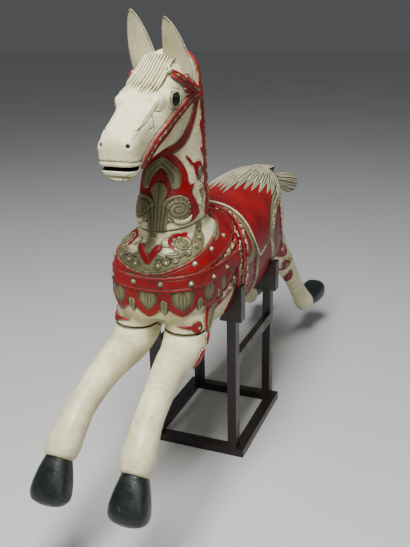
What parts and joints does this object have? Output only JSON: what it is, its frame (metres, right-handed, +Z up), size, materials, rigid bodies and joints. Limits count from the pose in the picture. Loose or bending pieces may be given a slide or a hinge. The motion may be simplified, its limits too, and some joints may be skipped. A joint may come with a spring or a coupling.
{
  "type": "carousel horse on a cradle stand",
  "caption": "Carved and painted wooden carousel horse at the gallop with saddle, harness and lappets, resting on a dark wooden cradle stand.",
  "frame": {"origin": "on the floor under the middle of the whole object's box", "axes": "+Z up, the horse faces -Y, its left side is +X, and it is longest along Y"},
  "size_m": [0.4576, 2.2186, 1.6822],
  "materials": {
    "horse_paint": "aged cream oil paint over carved wood, with red and gold harness, satin",
    "red_paint": "deep red oil paint on carved straps, saddle and lappets, satin, worn at the edges",
    "gold_paint": "dull olive gold paint on carved leaves, scrolls and studs",
    "hoof_paint": "black-green paint on the hooves, half gloss, chipped",
    "stand_wood": "near-black brown stain, satin lacquer"
  },
  "bodies": {
    "root": {"trunk": "horse_paint", "head_and_neck": "horse_paint", "left_foreleg": "horse_paint", "right_foreleg": "horse_paint", "left_hind_leg": "horse_paint", "right_hind_leg": "horse_paint", "front_left_cradle_block": "stand_wood", "front_left_post": "stand_wood", "front_right_cradle_block": "stand_wood", "front_right_post": "stand_wood", "rear_left_cradle_block": "stand_wood", "rear_left_post": "stand_wood", "rear_right_cradle_block": "stand_wood", "rear_right_post": "stand_wood", "left_middle_rail": "stand_wood", "right_middle_rail": "stand_wood", "left_base_rail": "stand_wood", "right_base_rail": "stand_wood", "front_base_rail": "stand_wood", "rear_base_rail": "stand_wood"}
  },
  "joints": []
}
